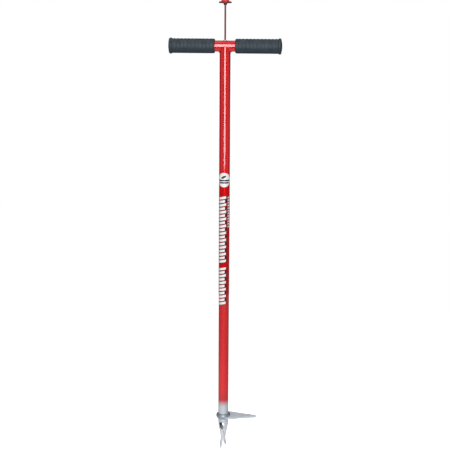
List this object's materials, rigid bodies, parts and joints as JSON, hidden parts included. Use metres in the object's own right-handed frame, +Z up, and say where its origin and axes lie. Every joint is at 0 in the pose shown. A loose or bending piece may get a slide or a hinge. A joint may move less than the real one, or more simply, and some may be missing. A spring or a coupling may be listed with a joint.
{
  "type": "stand up weeder",
  "caption": "Long T-handled lawn weeder with a step plate, a twisted split claw head, and a sprung push rod that ejects the pulled weed.",
  "frame": {"origin": "on the shaft's axis, level with the tips of the claws", "axes": "+Z up along the shaft towards the knob, +X along the step plate and the right grip, -Y towards the front"},
  "size_m": [0.2628, 0.0426, 1.1004],
  "materials": {
    "red_paint": "gloss enamel",
    "silver_paint": "silver metallic paint, satin",
    "bare_steel": "zinc plated, satin",
    "spring_steel": "oiled spring wire",
    "grip_rubber": "ribbed, matt",
    "black_plastic": "moulded, satin",
    "white_nylon": "natural nylon",
    "red_plastic": "moulded gloss",
    "red_lacquer": "thin dark red lacquer on steel",
    "turned_brass": "turned"
  },
  "bodies": {
    "frame": {"shaft_tube": "red_paint", "handle_tube": "red_paint", "handle_weld": "red_paint", "grip_left": "grip_rubber", "grip_right": "grip_rubber", "end_plug_left": "black_plastic", "end_plug_right": "black_plastic", "top_bush": "white_nylon", "step_plate": "silver_paint", "step_weld_upper": "silver_paint", "step_weld_lower": "silver_paint", "claw_head": "silver_paint", "head_weld": "silver_paint", "backing_sleeve": "bare_steel", "rod_guide": "white_nylon", "spring_washer": "bare_steel", "return_spring": "spring_steel"},
    "spring_carrier": {"spring_seat": "white_nylon"},
    "ejector": {"seat_clip": "bare_steel", "ejector_rod": "red_lacquer", "ejector_foot": "bare_steel", "foot_pin": "bare_steel", "rod_disc_lower": "white_nylon", "rod_disc_upper": "white_nylon", "ejector_knob": "red_plastic", "knob_insert": "turned_brass"}
  },
  "joints": [
    {"name": "ejector_slide", "type": "slide", "parent": "frame", "child": "spring_carrier", "axis": [0, 0, -1], "range_m": [0, 0.078], "stiffness_N_per_m": 150, "springref_m": -0.02, "deforming": ["return_spring"]},
    {"name": "ejector_spin", "type": "hinge", "parent": "spring_carrier", "child": "ejector", "pos_m": [0, 0, 1.09], "axis": [0, 0, 1], "continuous": true}
  ]
}
